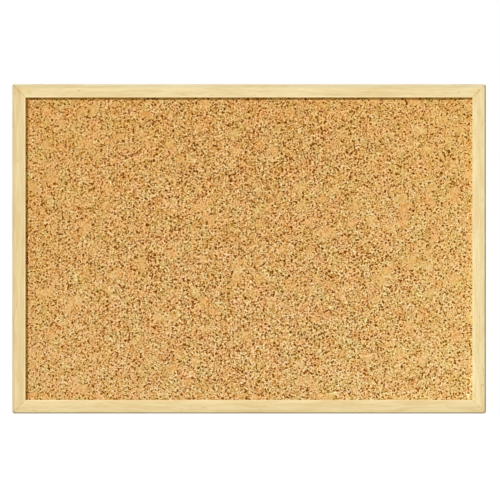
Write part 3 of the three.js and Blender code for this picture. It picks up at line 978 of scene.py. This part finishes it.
def makeEyelet(side):
    low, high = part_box("hanger_eyelet_" + side)
    middle = (low + high) / 2
    flange = (high.z - low.z) / 2
    bore = hangerLook["bore"]
    shank = hangerLook["shank"]
    lip = hangerLook["flangeLip"]
    section = [(bore, low.y), (flange, low.y), (flange, low.y + lip), (shank, low.y + lip),
               (shank, high.y - lip), (flange, high.y - lip), (flange, high.y), (bore, high.y)]
    bm = bmesh.new()
    loop = [bm.verts.new((middle.x + radius, y, middle.z)) for radius, y in section]
    rim = [bm.edges.new(pair) for pair in zip(loop, loop[1:] + loop[:1])]
    bmesh.ops.spin(bm, geom=loop + rim, cent=(middle.x, 0, middle.z), axis=(0, 1, 0),
                   angle=2 * math.pi, steps=hangerLook["eyeletSteps"], use_merge=True)
    bmesh.ops.remove_doubles(bm, verts=bm.verts, dist=same)
    faceOutward(bm)
    sharp = math.radians(hangerLook["sharp"])
    rolled = [edge for edge in bm.edges if edge.calc_face_angle(0) > sharp
              and all(abs(v.co.y - high.y) < same for v in edge.verts)]
    roundOver(bm, rolled, hangerLook["flangeRoll"], hangerLook["flangeRollSteps"])
    shadeByAngle(bm)
    dress(newObject("eyelet_" + side, bm, zincSteel), "board", "zinc_steel", "hanger_eyelet_" + side)


for joint in frame["joints"]:
    side = joint["child"].split("_")[1]
    axis = Vector(joint["pos_m"])
    makeRing(side, axis)
    makeStrap(side, axis)
    makeEyelet(side)
print("hangers made")


# pressed boards behind the cork share one fibre group
fibreLook = {
    "clump": {"scale": 0.12, "detail": 4.0, "rough": 0.65},
    "clumpRange": (0.3, 0.7),
    "wander": {"scale": 0.06, "detail": 1.0},  # bends the fibres
    "wanderReach": 8,
    "hair": {"detail": 1.0},
    "hairTurns": (0.3, 0.95, 1.6, 2.2, 2.9),  # fibres lie every way in the sheet
    "hairStretch": (0.2, 1.0, 1.5),
    "hairRange": (0.58, 0.76),
    "hairHeight": 0.5,  # beside the clumps
    "hairDepth": 0.4,  # how fully a fibre shows
    "fleck": {"scale": 0.9, "detail": 1.0},
    "fleckRange": (0.66, 0.76),
    "fleckDepth": 0.6,
    "shine": 0.3,
    "bumpDepth": 0.1 * mm,
}
boardLook = {  # scale: fibres per metre
    "hardboard_back": {"dark": screenColor(114, 79, 49), "light": screenColor(137, 98, 63),
                       "hair": screenColor(168, 128, 88), "fleck": screenColor(76, 50, 30),
                       "scale": 1400.0, "rough": 0.5, "bump": 0.25},
    "fibreboard_core": {"dark": screenColor(158, 124, 84), "light": screenColor(192, 158, 112),
                        "hair": screenColor(212, 184, 140), "fleck": screenColor(122, 92, 60),
                        "scale": 900.0, "rough": 0.9, "bump": 0.5},
}


def fibreMasks(tree, given):
    inputs = {0: given["Vector"], "Scale": given["Scale"]}
    sized = addNode(tree, "ShaderNodeVectorMath", inputs, operation="SCALE").outputs[0]
    clump = noise(tree, sized, **fibreLook["clump"])["Fac"]
    wander = noise(tree, sized, **fibreLook["wander"])["Color"]
    bent = pushed(tree, sized, wander, fibreLook["wanderReach"])
    hairs = 0.0
    for turn in fibreLook["hairTurns"]:
        way = turned(tree, bent, turn, fibreLook["hairStretch"], "Y")
        hair = noise(tree, way, **fibreLook["hair"])["Fac"]
        hairs = calc(tree, "MAXIMUM", hairs, remap(tree, hair, *fibreLook["hairRange"]))
    fleck = noise(tree, sized, **fibreLook["fleck"])["Fac"]
    return {"Clump": remap(tree, clump, *fibreLook["clumpRange"]), "Hair": hairs,
            "Fleck": remap(tree, fleck, *fibreLook["fleckRange"]),
            "Height": calc(tree, "MULTIPLY_ADD", hairs, fibreLook["hairHeight"], clump)}


fibreGroup = newGroup("pressedFibre", {"Vector": "Vector", "Scale": "Float"}, fibreMasks)
for node, look in boardLook.items():
    fixed = {"Roughness": look["rough"], "Specular IOR Level": fibreLook["shine"]}
    material, tree, shader = newMaterial(node, fixed)
    fibre = useGroup(tree, fibreGroup, {"Vector": objectPlace(tree), "Scale": look["scale"]})
    color = blend(tree, fibre["Clump"], look["dark"], look["light"])
    for mask, name in (("Hair", "hair"), ("Fleck", "fleck")):
        shown = calc(tree, "MULTIPLY", fibre[mask], fibreLook[name + "Depth"])
        color = blend(tree, shown, color, look[name])
    tree.links.new(color, shader.inputs["Base Color"])
    addBump(tree, shader, fibre["Height"], look["bump"], fibreLook["bumpDepth"])
    slots = frame["nodes"][node].data.materials
    slots.clear()
    slots.append(material)
print("boards finished")


# floor, light and camera
stageLook = {
    "floorDrop": 0.25,  # below the board, which hangs
    "floorSide": 8.0,
    "floorColor": (0.92, 0.92, 0.92, 1),
    "floorRough": 0.9,
    "floorGlow": 0.3,  # lifts the floor to white where it is looked at
    "bounce": (0.40, 0.40, 0.40, 1),  # what the floor gives back to the object
    "keyFrom": Vector((-0.8, -1.0, 0.8)),
    "keyStrength": 2.94,
    "keyAngle": 7,  # degrees
    "backFrom": Vector((0.6, 1.0, 0.25)),
    "backStrength": 2.2,
    "backAngle": 25,
    "fill": 0.38,
}
black = (0, 0, 0, 1)
white = (1, 1, 1, 1)


def lookedAt(tree):  # 1 where the camera sees the surface, straight or in metal or glass
    path = tree.nodes.new("ShaderNodeLightPath").outputs
    mirrored = calc(tree, "MAXIMUM", path["Is Glossy Ray"], path["Is Transmission Ray"])
    return calc(tree, "MAXIMUM", path["Is Camera Ray"], mirrored)


def makeFloor():
    bm = bmesh.new()
    drop = Matrix.Translation((0, 0, cadLow.z - stageLook["floorDrop"]))
    bmesh.ops.create_grid(bm, x_segments=1, y_segments=1, size=stageLook["floorSide"] / 2, matrix=drop)
    fixed = {"Roughness": stageLook["floorRough"], "Specular IOR Level": 0.0,
             "Emission Strength": stageLook["floorGlow"]}
    material, tree, shader = newMaterial("floorPaper", fixed)
    seen = lookedAt(tree)
    color = blend(tree, seen, stageLook["bounce"], stageLook["floorColor"])
    tree.links.new(color, shader.inputs["Base Color"])
    tree.links.new(blend(tree, seen, black, white), shader.inputs["Emission Color"])
    newObject("floor", bm, material)


def addSun(name):
    lamp = bpy.data.lights.new(name, "SUN")
    lamp.energy = stageLook[name + "Strength"]
    lamp.angle = math.radians(stageLook[name + "Angle"])
    made = bpy.data.objects.new(name, lamp)
    made.rotation_euler = stageLook[name + "From"].to_track_quat("Z", "Y").to_euler()
    bpy.context.scene.collection.objects.link(made)


def makeWorld():
    world = bpy.data.worlds.new("studio")
    world.use_nodes = True
    bpy.context.scene.world = world
    tree = world.node_tree
    sky = tree.nodes["Background"]
    sky.inputs["Color"].default_value = white
    strength = remap(tree, lookedAt(tree), 0.0, 1.0, stageLook["fill"], 1.0, smooth=False)
    tree.links.new(strength, sky.inputs["Strength"])


cameraLook = {
    "distance": 2.4,  # from the frame's front
    "pixel": 0.8859 * mm,  # what one pixel covers there
    "pixels": 500,  # across the picture
    "sensor": 36,  # mm
    "aim": Vector((0.82 * mm, 0, -1.06 * mm)),  # so the board sits a little left and high
}


def makeCamera():
    lens = bpy.data.cameras.new("camera")
    lens.sensor_width = cameraLook["sensor"]
    across = cameraLook["pixel"] * cameraLook["pixels"]
    lens.lens = cameraLook["sensor"] * cameraLook["distance"] / across
    made = bpy.data.objects.new("camera", lens)
    made.location = cameraLook["aim"] + Vector((0, cadLow.y - cameraLook["distance"], 0))
    made.rotation_euler = (math.radians(90), 0, 0)
    bpy.context.scene.collection.objects.link(made)
    bpy.context.scene.camera = made


makeFloor()
addSun("key")
addSun("back")
makeWorld()
makeCamera()
bpy.context.scene.view_settings.view_transform = "Standard"
print("stage set")
